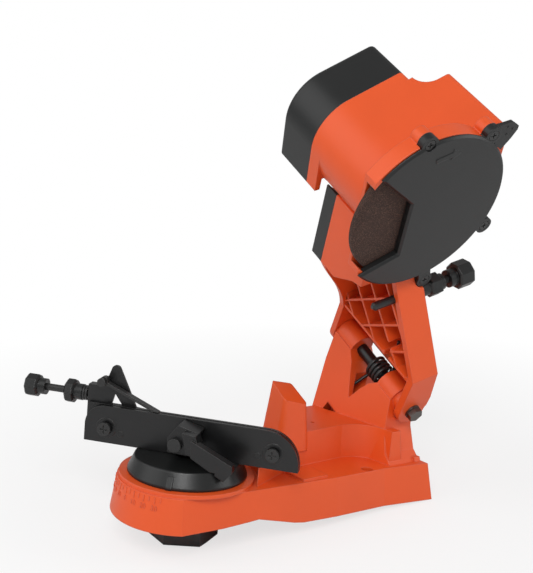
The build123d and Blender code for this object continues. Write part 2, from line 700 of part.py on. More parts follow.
def guard_screws():
    """Four pan-head screws through the guard ears into the housing lugs."""
    screws = Part()
    for x, y in LUGS:
        screws += rod(SCREW_CORE_R, RING_REAR + 3, LUG_TOP - SCREW_HEAD + 0.5, x=x, y=y)
        screws += rod(SCREW_HEAD_R, LUG_TOP - SCREW_HEAD, LUG_TOP, x=x, y=y)
        screws -= cross(SCREW_HEAD_R * 1.2, LUG_TOP - 1, LUG_TOP + 1, x=x, y=y)
    return screws


INNER_FLANGE = (-3.7, -WHEEL_THICK / 2)
OUTER_FLANGE = (WHEEL_THICK / 2, 2.9)
NUT_END = 4.3
COMMUTATOR = (-76.0, -66.0)
COMMUTATOR_R = 9.0
BRUSH_GAP = 0.2
CORE = (-62.0, -28.0)
CORE_R = 15.0
REAR_BEARING = (-108.0, -102.0)
REAR_BEARING_R = 9.5
FAN = (-97.0, -88.0)


def rotor_shaft():
    """Shaft with the laminated core and the commutator pressed on."""
    shaft = rod(SHAFT_R, REAR_BEARING[0] - 1, NUT_END)
    shaft += rod(CORE_R, *CORE) + rod(COMMUTATOR_R, *COMMUTATOR)
    return shaft + rod(6.0, CORE[1], MOTOR_FRONT_WALL - AIR)


def stator():
    """Laminated ring with two pole shoes and their field coils."""
    body = ring(MOTOR_BORE_R - AIR, 24.0, CORE[0], CORE[1])
    for side in (-1, 1):
        pole = Pos(side * 20, 0, CORE[0]) * Box(11, 22, CORE[1] - CORE[0], align=CENTRED)
        body += pole
    return body - rod(CORE_R + 0.5, -90, 0)


def field_coils():
    """One winding round each pole."""
    coils = Part()
    for side in (-1, 1):
        coil = Pos(side * 19.3, 0, CORE[0] - 6) * Box(6, 34, CORE[1] - CORE[0] + 12, align=CENTRED)
        coil -= Pos(side * 20, 0, CORE[0] - AIR) * Box(12, 22.6, CORE[1] - CORE[0] + 2 * AIR, align=CENTRED)
        coils += coil & rod(24.0 - AIR, -90, 0)
    return coils


def brushes():
    """Two carbon brushes on the commutator, each in its holder."""
    pair = Part()
    inner = COMMUTATOR_R + BRUSH_GAP
    long = MOTOR_BORE_R - AIR - inner
    for side in (-1, 1):
        pair += Pos(side * (inner + long / 2), 0, sum(COMMUTATOR) / 2) * Box(long, 7, 6)
    return pair


def fan():
    """Cooling fan: a disc with straight blades."""
    body = rod(26.0, FAN[0], FAN[0] + 1.5) + rod(8.0, *FAN)
    for blade in range(9):
        body += Rot(0, 0, blade * 40) * Pos(16.5, 0, FAN[0]) * Box(18, 1.4, FAN[1] - FAN[0], align=CENTRED)
    return body - rod(SHAFT_R + RUN, -120, 0)


def wheel():
    return ring(WHEEL_R, WHEEL_BORE_R, -WHEEL_THICK / 2, WHEEL_THICK / 2)


def inner_flange():
    hub = rod(WHEEL_BORE_R - RUN, INNER_FLANGE[1], WHEEL_THICK / 2 - 0.2)
    return rod(17.0, *INNER_FLANGE) + hub - rod(SHAFT_R + RUN, -10, 10)


def motor_cover():
    """Rear cover of the motor, a shell with the rear bearing's seat and cooling slots."""
    outside = slab(motor_outline(True), COVER_REAR, MOTOR_REAR - 0.05)
    rear = outside.faces().sort_by(Axis.Z)[0]
    outside = fillet(rear.edges(), 4.0)
    shell = outside - slab(offset(motor_outline(True), -WALL), COVER_REAR + WALL, MOTOR_REAR + 1)
    shell += ring(REAR_BEARING_R + 3, REAR_BEARING_R + RUN, COVER_REAR + WALL - 1, REAR_BEARING[1])
    for row in (-3, -2, 2, 3):
        shell -= Pos(0, row * 7, COVER_REAR) * Box(40, 3, 12)
    for x, y in COVER_SCREWS:
        shell += rod(4.5, COVER_REAR + 1, MOTOR_REAR - 0.05, x=x, y=y) & slab(motor_outline(True), -200, 0)
        shell -= rod(GUARD_SCREW_R + RUN, -200, 0, x=x, y=y)
        shell -= rod(SCREW_HEAD_R + AIR, -200, COVER_REAR + 4, x=x, y=y)
    return shell


COVER_SCREWS = [(27.5, 33.0), (27.5, -23.0), (-27.5, -23.0)]


def cover_screws():
    screws = Part()
    for x, y in COVER_SCREWS:
        screws += rod(1.9, COVER_REAR + 4, MOTOR_REAR - 1, x=x, y=y)
        screws += rod(SCREW_HEAD_R, COVER_REAR + 1.4, COVER_REAR + 4, x=x, y=y)
    return screws


save("guard", guard(), wheel_at)
save("guard_screws", guard_screws(), wheel_at)
save("grinding_wheel", wheel(), wheel_at)
save("inner_flange", inner_flange(), wheel_at)
save("outer_flange", ring(12.1, SHAFT_R + RUN, *OUTER_FLANGE), wheel_at)
save("wheel_nut", hex_bar(13, OUTER_FLANGE[1], NUT_END) - rod(SHAFT_R + RUN, 0, 10), wheel_at)
save("rotor_shaft", rotor_shaft(), wheel_at)
save("stator", stator(), wheel_at)
save("field_coils", field_coils(), wheel_at)
save("brushes", brushes(), wheel_at)
save("fan", fan(), wheel_at)
save("front_bearing", ring(BEARING_R, SHAFT_R + RUN, MOTOR_FRONT_WALL + 0.2, BEARING_FRONT - 0.1), wheel_at)
save("rear_bearing", ring(REAR_BEARING_R, SHAFT_R + RUN, *REAR_BEARING), wheel_at)
save("motor_cover", motor_cover(), wheel_at)
save("cover_screws", cover_screws(), wheel_at)


# ================= wiring box cover, switch and gland =================

def wiring_cover():
    """Cover behind the wiring box, with the switch cut-out and the cable gland's hole."""
    outside = slab(box_cover_outline(), BOX_COVER_REAR, ARM_FAR - 0.05)
    corner = outside.edges().filter_by(Axis.Z).sort_by(Axis.Y)[0:1]
    outside = fillet(corner, COVER_ROUND)
    hollow = slab(offset(box_cover_outline(), -COVER_WALL), BOX_COVER_REAR + COVER_WALL, ARM_FAR + 1)
    shell = outside - hollow
    shell -= Pos(SWITCH_B, SWITCH_A, BOX_COVER_REAR) * Box(SWITCH_WIDE + 0.2, SWITCH_TALL + 0.2, 20)
    return shell - rod(GLAND_R + 0.1, -90, 0, x=SWITCH_B, y=GLAND_A)


def switch_body():
    """Rocker switch: bezel outside, snap-in body inside, hollow for the rocker."""
    rim = 2 * SWITCH_BEZEL
    bezel = Pos(0, 0, -2) * Box(SWITCH_WIDE + rim, SWITCH_TALL + rim, 2, align=CENTRED)
    body = Box(SWITCH_WIDE, SWITCH_TALL, 16, align=CENTRED)
    well = Pos(0, 0, -3) * Box(SWITCH_WIDE - 3.4, SWITCH_TALL - 2.4, 11, align=CENTRED)
    pin = bar_y(1.0, -SWITCH_TALL / 2, SWITCH_TALL / 2, z=ROCKER_AXIS)
    return bezel + body - well + pin


def switch_rocker():
    """Rocker on its pin, pressed down at one end."""
    half = SWITCH_WIDE / 2 - 2.9
    profile = polygon((-half, -3), (0, -2), (half, -3), (half, 1), (-half, 1))
    wide = SWITCH_TALL / 2 - 1.5
    rocker = along_y(profile, -wide, wide) + bar_y(2.6, -wide, wide, z=ROCKER_AXIS)
    rocker -= bar_y(1.0 + RUN, -10, 10, z=ROCKER_AXIS)
    return Pos(0, 0, ROCKER_AXIS) * Rot(0, ROCKER_TURN, 0) * Pos(0, 0, -ROCKER_AXIS) * rocker


def cable_gland():
    """Rubber-lined inlet for the supply lead, with a bore."""
    return ring(GLAND_R, GLAND_BORE_R, -10, 4) + ring(GLAND_R + 3, GLAND_BORE_R, -3, 0)


switch_at = arm_at * Pos(SWITCH_B, SWITCH_A, BOX_COVER_REAR - 0.05)
save("wiring_cover", wiring_cover(), arm_at)
save("switch_body", switch_body(), switch_at)
save("switch_rocker", switch_rocker(), switch_at)
save("cable_gland", cable_gland(), arm_at * Pos(SWITCH_B, GLAND_A, BOX_COVER_REAR - 0.05))


# ================= depth screw =================

def facetted_knob(radius, sides, low, high, collar_radius, collar_end):
    """Moulded knob with flats and a round collar, along its own Z."""
    grip = Pos(0, 0, low) * extrude(RegularPolygon(radius, sides), amount=high - low)
    grip = chamfer(grip.edges().group_by(Axis.Z)[-1] + grip.edges().group_by(Axis.Z)[0], 1.2)
    return grip + rod(collar_radius, min(low, collar_end), max(low, collar_end))


def depth_screw():
    rod_part = rod(ROD_R, DEPTH_TIP, DEPTH_END)
    tip = rod_part.edges().sort_by(Axis.Z)[0]
    return chamfer(tip, 1.6)


def depth_knob():
    return facetted_knob(10.0, 8, DEPTH_END + 6, DEPTH_END + 19, 6.5, DEPTH_END + 0.05)


def depth_lock_knob():
    knob = facetted_knob(8.6, 6, *LOCK_KNOB, 6.0, ARM_RIGHT + AIR) + rod(6.0, LOCK_KNOB[1] - 1, LOCK_END)
    return knob - rod(ROD_R + RUN, 0, 60)


depth_at = arm_at * Pos(0, DEPTH_A, DEPTH_D) * Rot(0, 90, 0)
save("depth_screw", depth_screw(), depth_at)
save("depth_knob", depth_knob(), depth_at)
save("depth_lock_knob", depth_lock_knob(), depth_at)


# ================= turntable and vise, in the rail's frame =================

def turntable():
    """Round table with a steep side, an index ridge and the rail's upright."""
    rim = [(TABLE_R, TABLE_FOOT), (TABLE_R, TABLE_RIM), (TABLE_FLAT_R, TABLE_TOP)]
    side = polygon((0, TABLE_FOOT), *rim, (0, TABLE_TOP))
    side = fillet(side.vertices().filter_by(lambda v: v.X > 1 and v.Y > TABLE_FOOT + 1), TABLE_ROUND)
    body = revolve(Plane.XZ.location * side, axis=Axis.Z)
    ridge = polygon((-TABLE_R - 1, TABLE_FOOT), (-TABLE_R - 1, TABLE_RIM), (-TABLE_R + 2.5, TABLE_TOP - 3),
                    (-TABLE_R + 8, TABLE_TOP - 3), (-TABLE_R + 8, TABLE_FOOT))
    body += along_x(ridge, -RIDGE_WIDE / 2, RIDGE_WIDE / 2)
    wall = polygon((-30, TABLE_TOP - 4), (30, TABLE_TOP - 4), (24, 60), (-24, 60))
    upright = along_y(wall, RAIL_BACK, UPRIGHT_BACK)
    body += upright
    body -= bar_y(LEVER_SCREW_R + RUN, -10, 40, x=LEVER_S, z=LEVER_Z)
    for s in UPRIGHT_SCREWS:
        body -= bar_y(RAIL_SCREW_R + RUN, -10, 40, x=s, z=RAIL_SCREW_Z)
    head = Pos(0, 0, TABLE_FOOT + 4) * Cylinder(8.5, 20, align=CENTRED)
    return body - rod(TABLE_BOLT_R + RUN, 0, 50) - (head & rod(8.5, 0, TABLE_TOP + 1))


UPRIGHT_SCREWS = (-20.0, 16.0)


def rail_outline(left_radius):
    """Rail: a long plate, rounded down at its right end."""
    top = [(RAIL_RIGHT, RAIL_TOP), (RAIL_LEFT, RAIL_TOP)]
    plate = polygon((RAIL_LEFT, RAIL_FOOT), (RAIL_RIGHT, RAIL_FOOT), *top)
    corner = plate.vertices().filter_by(lambda v: v.X > 0 and v.Y > RAIL_FOOT + 1)
    plate = fillet(corner, RAIL_CURVE)
    if left_radius:
        plate = fillet(plate.vertices().filter_by(lambda v: v.X < 0 and v.Y > RAIL_FOOT + 1), left_radius)
    return plate


def rail_holes(low, high, radius):
    holes = bar_y(LEVER_SCREW_R + 0.1, low, high, x=LEVER_S, z=LEVER_Z)
    for side in (-1, 1):
        holes += bar_y(radius, low, high, x=side * RAIL_SCREW_S, z=RAIL_SCREW_Z)
    return holes


def front_rail():
    """Moving jaw, with pressed dimples and a raised ring round the left screw."""
    plate = along_y(rail_outline(14.0), RAIL_FRONT_FACE, RAIL_FRONT_FACE + RAIL_THICK)
    for side in (-1, 1):
        for s, radius, height in ((48, 2.2, 49), (RAIL_SCREW_S, RAISED_RING_R, RAIL_SCREW_Z)):
            plate += bar_y(radius, RAIL_FRONT_FACE - RAISED, RAIL_FRONT_FACE + 1, x=side * s, z=height)
    return plate - rail_holes(-20, 20, RAIL_SCREW_R + 0.1)


def rear_rail():
    """Fixed jaw, screwed to the turntable's upright."""
    outline = rail_outline(0)
    plate = along_y(outline, CHAIN_GAP / 2, CHAIN_GAP / 2 + RAIL_THICK)
    for s in UPRIGHT_SCREWS:
        plate -= bar_y(RAIL_SCREW_R + RUN, -20, 20, x=s, z=RAIL_SCREW_Z)
    return plate - rail_holes(-20, 20, RAIL_SCREW_R + RUN)


def rail_screws():
    """Two long guide screws through both jaws, and two short ones into the upright."""
    screws = Part()
    face = RAIL_FRONT_FACE - RAISED - HEAD_GAP
    for side in (-1, 1):
        s = side * RAIL_SCREW_S
        screws += bar_y(RAIL_SCREW_R, face, RAIL_BACK + 4.5, x=s, z=RAIL_SCREW_Z)
        screws += bar_y(RAIL_HEAD_R, face - SCREW_HEAD, face, x=s, z=RAIL_SCREW_Z)
        screws -= Pos(s, face - SCREW_HEAD, RAIL_SCREW_Z) * Rot(90, 0, 0) * cross(RAIL_HEAD_R * 1.2, -1, 1)
    for s in UPRIGHT_SCREWS:
        screws += bar_y(RAIL_SCREW_R, -CHAIN_GAP / 2 + 0.9, UPRIGHT_BACK - 2, x=s, z=RAIL_SCREW_Z)
    return screws


def rail_nuts():
    nuts = Part()
    for side in (-1, 1):
        nut = Pos(side * RAIL_SCREW_S, RAIL_BACK, RAIL_SCREW_Z) * Rot(-90, 0, 0) * hex_bar(7, 0, 3.2)
        nuts += nut - bar_y(RAIL_SCREW_R + RUN, -20, 20, x=side * RAIL_SCREW_S, z=RAIL_SCREW_Z)
    return nuts



def clamp_lever():
    """Clamp lever: a hub on the screw, with an arm that steps forward to a flat grip."""
    boss = polygon((-9.9, 57), (-3, 66.6), (11, 62.9), (4.5, 46.8), (-9.1, 47.3))
    hub = along_y(boss, LEVER_HUB, LEVER_BACK)
    root = polygon((2, 64), (11, 62.9), (13, 57.5), (9.4, 48.8), (5.6, 50))
    step = along_y(root, LEVER_GRIP[0] + 2, LEVER_HUB + 4)
    grip = along_y(polygon((8.5, 60.4), (37.2, 47.5), (37.6, 43.1), (32.4, 36.4), (9.4, 48.8)), *LEVER_GRIP)
    lever = hub + step + grip - rod(TABLE_FLAT_R + 2.4, 0, TABLE_TOP + AIR)
    return lever - bar_y(LEVER_SCREW_R + RUN, -40, 0, x=LEVER_S, z=LEVER_Z)


def lever_screw():
    """Screw of the lever, keyed in it, through both jaws into the upright."""
    shank = bar_y(LEVER_SCREW_R, LEVER_HUB - 0.5, UPRIGHT_BACK - 1, x=LEVER_S, z=LEVER_Z)
    return shank + bar_y(4.6, LEVER_HUB - 3.2, LEVER_HUB - 0.02, x=LEVER_S, z=LEVER_Z)


def turntable_bolt():
    """Bolt of the turntable: its head is held in the table, its thread carries the knob."""
    head = hex_bar(13, TABLE_FOOT + 4, TABLE_FOOT + 9)
    return rod(TABLE_BOLT_R, KNOB_FOOT + 4, TABLE_FOOT + 5) + head


def clamp_knob():
    """Hexagonal knob under the base."""
    grip = Rot(0, 0, KNOB_TURN) * slab(RegularPolygon(KNOB_R, 6), KNOB_FOOT, KNOB_TOP - 4)
    grip += rod(KNOB_R * 0.8, KNOB_TOP - 4, KNOB_TOP)
    return grip - rod(TABLE_BOLT_R + RUN, KNOB_FOOT + 3, 20)


save("turntable", turntable(), rail_at)
save("turntable_bolt", turntable_bolt(), rail_at)
save("clamp_washer", ring(11.0, TABLE_BOLT_R + RUN, KNOB_TOP + 0.1, FOOT_Z - 0.2), rail_at)
save("clamp_knob", clamp_knob(), rail_at)
save("rear_rail", rear_rail(), rail_at)
save("front_rail", front_rail(), rail_at)
save("rail_screws", rail_screws(), rail_at)
save("rail_nuts", rail_nuts(), rail_at)
save("clamp_lever", clamp_lever(), rail_at)
save("lever_screw", lever_screw(), rail_at)


# ================= chain stop =================

PLATE_BACK = RAIL_BACK + PLATE_THICK
STOP_SCREW_Y = RAIL_BACK + 5.0


def stop_bracket():
    """Folded plate behind the rear jaw: a pointed frame, and the block that the stop screw runs in."""
    peak = [(-40.4, RAIL_TOP), (-54, 94.5), (-58.5, 94.5), (-64, 79)]
    outer = polygon((STOP_BLOCK[0], 56), (-30, 60), (-30, 66.5), *peak, (STOP_BLOCK[0], 79))
    outer = fillet(outer.vertices().filter_by(lambda v: v.Y > 90), 3.0)
    window = polygon((-58, 67.5), (-50.5, 67.5), (-56, 75))
    plate = along_y(outer - window, RAIL_BACK, PLATE_BACK)
    left, right = STOP_BLOCK
    block = Pos(left, RAIL_BACK, 58) * Box(right - left, 7, 21, align=(Align.MIN, Align.MIN, Align.MIN))
    body = plate + block - bar_x(ROD_R - 0.5 + RUN, -90, -40, y=STOP_SCREW_Y, z=STOP_Z)
    return body - bar_y(PIN_R + RUN, -20, 30, x=PAWL_S, z=PAWL_Z)


def stop_screw():
    return bar_x(ROD_R - 0.5, -108, -62, y=STOP_SCREW_Y, z=STOP_Z)


def stop_knob():
    grip = facetted_knob(8.0, 8, 0, 9.5, 5.6, 14.5)
    grip = grip + rod(5.6, 9, 14.5)
    return Pos(-122.6, STOP_SCREW_Y, STOP_Z) * Rot(0, 90, 0) * grip


def stop_lock_knob():
    grip = facetted_knob(8.4, 8, 0, 7, 5.6, 12.5) + rod(5.6, 6.5, 12.5)
    grip -= rod(ROD_R - 0.5 + RUN, -5, 20)
    return Pos(-93, STOP_SCREW_Y, STOP_Z) * Rot(0, 90, 0) * grip


def stop_washers():
    """Two spring washers between the lock knob and the block."""
    bore = ROD_R - 0.4
    stack = ring(5.2, bore, 0, 1.4) + ring(5.2, bore, 2.0, 3.4) + ring(3.4, bore, 1.3, 2.1)
    return Pos(-80.2, STOP_SCREW_Y, STOP_Z) * Rot(0, 90, 0) * stack


def pawl_pin():
    pin = bar_y(PIN_R, -5.5, PLATE_BACK + 2.5, x=PAWL_S, z=PAWL_Z)
    return pin + bar_y(3.0, -7.0, -5.4, x=PAWL_S, z=PAWL_Z)


def pawl():
    """Steel leaf that drops behind a cutter of the chain, with a rolled eye on its pin and a hooked tip."""
    outline = polygon((-64.5, 83.2), (-24.2, 66.6), (-23.6, 62.7), (-22.4, 62.7), (-22.6, 67.9), (-63.9, 85))
    half = PAWL_THICK / 2
    leaf = along_y(outline, -half, half)
    low = RAIL_TOP + 0.4
    narrow = along_y(polygon((-40, 60), (-10, 60), (-10, low), (-40, low)), PAWL_TIP / 2, half + 1)
    leaf -= narrow + mirror(narrow, about=Plane.XZ)
    eye = bar_y(2 * PIN_R, -half, half, x=PAWL_S, z=PAWL_Z)
    return leaf + eye - bar_y(PIN_R + RUN, -20, 20, x=PAWL_S, z=PAWL_Z)


save("stop_bracket", stop_bracket(), rail_at)
save("stop_screw", stop_screw(), rail_at)
save("stop_knob", stop_knob(), rail_at)
save("stop_lock_knob", stop_lock_knob(), rail_at)
save("stop_washers", stop_washers(), rail_at)
save("pawl_pin", pawl_pin(), rail_at)
save("pawl", pawl(), rail_at)
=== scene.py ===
import math
import bmesh
import bpy
from mathutils import Matrix, Vector


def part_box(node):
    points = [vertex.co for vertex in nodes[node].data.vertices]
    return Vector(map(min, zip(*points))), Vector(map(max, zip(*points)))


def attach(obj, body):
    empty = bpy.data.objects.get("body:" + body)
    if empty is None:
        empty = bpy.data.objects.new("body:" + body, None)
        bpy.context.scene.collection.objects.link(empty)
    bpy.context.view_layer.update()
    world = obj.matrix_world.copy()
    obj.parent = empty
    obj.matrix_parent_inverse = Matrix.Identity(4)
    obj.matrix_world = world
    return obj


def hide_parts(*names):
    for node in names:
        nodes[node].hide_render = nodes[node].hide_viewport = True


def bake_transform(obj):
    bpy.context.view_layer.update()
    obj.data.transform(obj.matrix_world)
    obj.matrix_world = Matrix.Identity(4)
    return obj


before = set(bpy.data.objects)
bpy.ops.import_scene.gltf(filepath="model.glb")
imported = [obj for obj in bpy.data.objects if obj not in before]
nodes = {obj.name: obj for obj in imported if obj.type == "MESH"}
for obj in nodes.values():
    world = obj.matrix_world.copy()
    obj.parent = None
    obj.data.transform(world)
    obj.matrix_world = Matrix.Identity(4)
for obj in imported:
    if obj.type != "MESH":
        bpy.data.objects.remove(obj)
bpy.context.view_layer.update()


# Bench base and head housing: the base is one aluminium casting under bright orange powder coat,
# and the head is moulded in filled nylon of the same orange. Both are satin, with a fine peel or
# grain, and their edges are painted slightly paler as a highlight where light catches them.

class Value:
    """One output in a material's nodes. Sums and products of values add their Math nodes."""

    def __init__(self, tree, output=None):
        self.tree = tree
        self.output = output

    def node(self, kind, settings=None, inputs=None, output=0):
        made = self.tree.nodes.new("ShaderNode" + kind)
        for name, setting in (settings or {}).items():
            if name == "stops":
                stops(made.color_ramp, setting)
            else:
                setattr(made, name, setting)
        for name, given in (inputs or {}).items():
            socket = made.inputs[name]
            if isinstance(given, Value):
                self.tree.links.new(given.output, socket)
            else:
                socket.default_value = given
        return Value(self.tree, made.outputs[output])

    def math(self, operation, first, second):
        return self.node("Math", {"operation": operation}, {0: first, 1: second})

    def __add__(self, other):
        return self.math("ADD", self, other)

    def __mul__(self, other):
        return self.math("MULTIPLY", self, other)

    def __sub__(self, other):
        return self.math("SUBTRACT", self, other)

    def __rsub__(self, other):
        return self.math("SUBTRACT", other, self)

    __radd__ = __add__
    __rmul__ = __mul__


def stops(ramp, wanted):
    """Sets a colour ramp's stops, each a place and a colour."""
    while len(ramp.elements) < len(wanted):
        ramp.elements.new(0.5)
    for element, (place, colour) in zip(ramp.elements, wanted):
        element.position = place
        element.color = (*colour, 1)


def linear(red, green, blue):
    """Colour as seen on a screen, 0 to 255, brought to the shader's own scale."""
    levels = [channel / 255 for channel in (red, green, blue)]
    return tuple(((c + 0.055) / 1.055) ** 2.4 if c > 0.04 else c / 12.92 for c in levels)


def surface(name, roughness=0.5, metallic=0.0):
    """New material with its main shader, and a value to start expressions from."""
    material = bpy.data.materials.new(name)
    material.use_nodes = True
    shader = material.node_tree.nodes["Principled BSDF"]
    shader.inputs["Roughness"].default_value = roughness
    shader.inputs["Metallic"].default_value = metallic
    return material, shader, Value(material.node_tree)


def feed(value, shader, name):
    value.tree.links.new(value.output, shader.inputs[name])


def dress(material, *names):
    """Gives a material to CAD nodes."""
    for name in names:
        mesh = nodes[name].data
        mesh.materials.clear()
        mesh.materials.append(material)


def noise(tree, place, scale, detail):
    inputs = {"Vector": place, "Scale": scale, "Detail": detail}
    return tree.node("TexNoise", inputs=inputs, output="Fac")


def mix(tree, share, first, second, blend="MIX"):
    """Colour between two others. The first may be a value, the second is a plain colour."""
    start = first if isinstance(first, Value) else (*first, 1)
    settings = {"data_type": "RGBA", "blend_type": blend}
    return tree.node("Mix", settings, {0: share, 6: start, 7: (*second, 1)}, output=2)


def bump(tree, strength, distance, height, normal=None):
    inputs = {"Strength": strength, "Distance": distance, "Height": height}
    if normal:
        inputs["Normal"] = normal
    return tree.node("Bump", inputs=inputs)


def edges(tree, radius):
    """Softened normal at the edges, and a mask that is 1 on them."""
    flat, sharp = 0.99, 0.86
    soft = tree.node("Bevel", {"samples": 6}, {"Radius": radius})
    true = tree.node("NewGeometry", output="True Normal")
    match = tree.node("VectorMath", {"operation": "DOT_PRODUCT"}, {0: soft, 1: true}, output="Value")
    mask = tree.node("MapRange", inputs={0: match, 1: flat, 2: sharp, 3: 0.0, 4: 1.0})
    return soft, mask


def orange(name, colour, grain_scale, roughness):
    material, shader, tree = surface(name, roughness)
    place = tree.node("TexCoord", output="Object")
    soft, rim = edges(tree, radius=0.0009)
    cloud = noise(tree, place, scale=22.0, detail=3.0)
    grain = noise(tree, place, grain_scale, detail=2.0)
    deep = tuple(c * 0.90 for c in colour)
    bright = tuple(min(1.0, c * 1.05) for c in colour)
    # Painted highlight: a paler orange that every edge is mixed toward, standing in for light caught
    # on the edges.
    edge_wear_and_highlight = tuple(c * 0.7 + 0.12 for c in colour)
    feed(mix(tree, rim * 0.35, mix(tree, cloud, deep, bright), edge_wear_and_highlight), shader, "Base Color")
    feed(roughness - 0.07 + cloud * 0.14 + grain * 0.04, shader, "Roughness")
    feed(bump(tree, 0.16, 0.0002, grain, soft), shader, "Normal")
    return material


BODY_ORANGE = linear(226, 84, 29)
PEEL_SCALE = 1500.0
MOULD_SCALE = 900.0
casting_orange = orange("orange_powder_coat", BODY_ORANGE, PEEL_SCALE, 0.40)
moulded_orange = orange("orange_nylon", BODY_ORANGE, MOULD_SCALE, 0.40)
dress(casting_orange, "base_casting")
dress(moulded_orange, "head_housing")


# Angle scale, cast into the wall of the base's round end and coated with it: raised ticks every
# 5 degrees to each side of the middle, longer at each 10, and plain numbers under them.

washer_low, washer_high = (Vector(corner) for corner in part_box("clamp_washer"))
TABLE_AXIS = (washer_low + washer_high) / 2
TABLE_AXIS.z = 0
WALL_TOP = 0.027
WALL_R = 0.047
WALL_DRAFT = math.radians(8)
TICK_RAISED = 0.0006
TICK_WIDE = 0.0008
TICK_TALL = 0.0028
TICK_INSET = 0.001
TENTH_LONGER = 1.4
SCALE_END = 35
SCALE_STEP = 5
FIGURE_SIZE = 0.0048
FIGURE_DEPTH = 0.0095


def on_wall(angle, depth):
    """Place on the round wall, an angle round from -X and a depth below its top."""
    turn = Matrix.Rotation(math.radians(angle), 4, "Z")
    out = Matrix.Translation((-WALL_R - depth * math.tan(WALL_DRAFT), 0, WALL_TOP - depth))
    return Matrix.Translation(TABLE_AXIS) @ turn @ out @ Matrix.Rotation(WALL_DRAFT, 4, "Y")


def tick_mark(height):
    mesh = bpy.data.meshes.new("tick")
    shape = bmesh.new()
    size = Matrix.Diagonal((TICK_RAISED, TICK_WIDE, height, 1))
    bmesh.ops.create_cube(shape, size=1.0, matrix=size)
    shape.to_mesh(mesh)
    return mesh


def number(text):
    """Raised figures that face -X."""
    curve = bpy.data.curves.new("number", "FONT")
    curve.body = text
    curve.size = FIGURE_SIZE
    curve.extrude = TICK_RAISED / 2
    curve.align_x = "CENTER"
    curve.resolution_u = 3
    mesh = bpy.data.meshes.new_from_object(bpy.data.objects.new("number", curve))
    mesh.transform(Matrix(((0, 0, -1, 0), (-1, 0, 0, 0), (0, 1, 0, 0), (0, 0, 0, 1))))
    return mesh


scale_shape = bmesh.new()
for angle in range(-SCALE_END, SCALE_END + 1, SCALE_STEP):
    is_tenth = angle % 10 == 0
    height = TICK_TALL * (TENTH_LONGER if is_tenth else 1.0)
    marks = [(tick_mark(height), TICK_INSET + height / 2)]
    if is_tenth:
        marks.append((number(str(abs(angle))), FIGURE_DEPTH))
    for mesh, depth in marks:
        mesh.transform(on_wall(angle, depth))
        scale_shape.from_mesh(mesh)
scale_mesh = bpy.data.meshes.new("angle_scale")
scale_shape.to_mesh(scale_mesh)
angle_scale = bpy.data.objects.new("angle_scale", scale_mesh)
bpy.context.collection.objects.link(angle_scale)
scale_mesh.materials.append(casting_orange)
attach(angle_scale, "base")


# Turntable, knobs, covers, guard and switch: black nylon mouldings with a fine spark-eroded
# grain, a little greyer where light catches the edges. The covers and the guard are screwed to
# the head, and their grain is finer than that of the parts that a hand holds.

def black_moulding(name, tone, grain_scale, roughness):
    material, shader, tree = surface(name, roughness)
    place = tree.node("TexCoord", output="Object")
    soft, rim = edges(tree, radius=0.0008)
    cloud = noise(tree, place, scale=30.0, detail=3.0)
    grain = noise(tree, place, grain_scale, detail=1.0)
    low = tuple(c * 0.86 for c in tone)
    high = tuple(c * 1.16 for c in tone)
    pale = tuple(c * 1.9 + 0.01 for c in tone)
    feed(mix(tree, rim * 0.5, mix(tree, cloud, low, high), pale), shader, "Base Color")
    feed(roughness - 0.05 + cloud * 0.1, shader, "Roughness")
    feed(bump(tree, 0.3, 0.00015, grain, soft), shader, "Normal")
    return material


knob_black = black_moulding("black_knob_nylon", linear(22, 23, 23), 1200.0, 0.34)
black_nylon = black_moulding("black_nylon", linear(20, 21, 21), 2200.0, 0.38)
dress(knob_black, "turntable", "clamp_knob", "depth_knob", "depth_lock_knob", "stop_knob",
      "stop_lock_knob", "switch_body", "switch_rocker", "cable_gland")
dress(black_nylon, "motor_cover", "wiring_cover", "guard", "fan")


# Vise rails, bracket, lever and hinge sleeve: pressed steel and die castings with a satin black
# coat. Screws, nuts, washers and the pawl: oil-blackened steel, a little greyer. Both are
# rubbed to bare metal in patches along the edges.

def coated_steel(name, tone, roughness):
    material, shader, tree = surface(name, roughness)
    place = tree.node("TexCoord", output="Object")
    soft, rim = edges(tree, radius=0.0005)
    cloud = noise(tree, place, scale=60.0, detail=5.0)
    grain = noise(tree, place, scale=1800.0, detail=2.0)
    edge_wear_and_highlight = rim * cloud
    bare = linear(120, 118, 116)
    feed(mix(tree, edge_wear_and_highlight * 0.5, tone, bare), shader, "Base Color")
    feed(roughness + (cloud - 0.5) * 0.24, shader, "Roughness")
    feed(edge_wear_and_highlight * 0.6, shader, "Metallic")
    feed(bump(tree, 0.12, 0.0001, grain, soft), shader, "Normal")
    return material


black_coat = coated_steel("black_coated_steel", linear(15, 15, 16), 0.34)
black_oxide = coated_steel("black_oxide_steel", linear(34, 34, 34), 0.36)
dress(black_coat, "rear_rail", "front_rail", "stop_bracket", "clamp_lever", "pivot_sleeve")
dress(black_oxide, "pivot_nut", "guard_screws", "cover_screws", "rail_screws", "rail_nuts",
      "turntable_bolt", "clamp_washer", "lever_screw", "stop_screw", "stop_washers", "pawl_pin",
      "depth_screw", "pawl")


# Return spring: oil-black wound wire round the hinge bolt. One leg lies in the base and the other on
# the arm, so on the machine its turns wind up as the head comes down; the copy made here is one
# fixed mesh.

return_spring = bpy.data.objects.new("return_spring", nodes["torsion_spring"].data.copy())
bpy.context.collection.objects.link(return_spring)
return_spring.data.materials.clear()
return_spring.data.materials.append(black_oxide)
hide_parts("torsion_spring")
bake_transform(return_spring)


# Hinge bolt, shaft, bearings, flanges, wheel nut and stator: ground or zinc plated steel, the
# bolt and its washer darker. All of them show fine drawing lines.

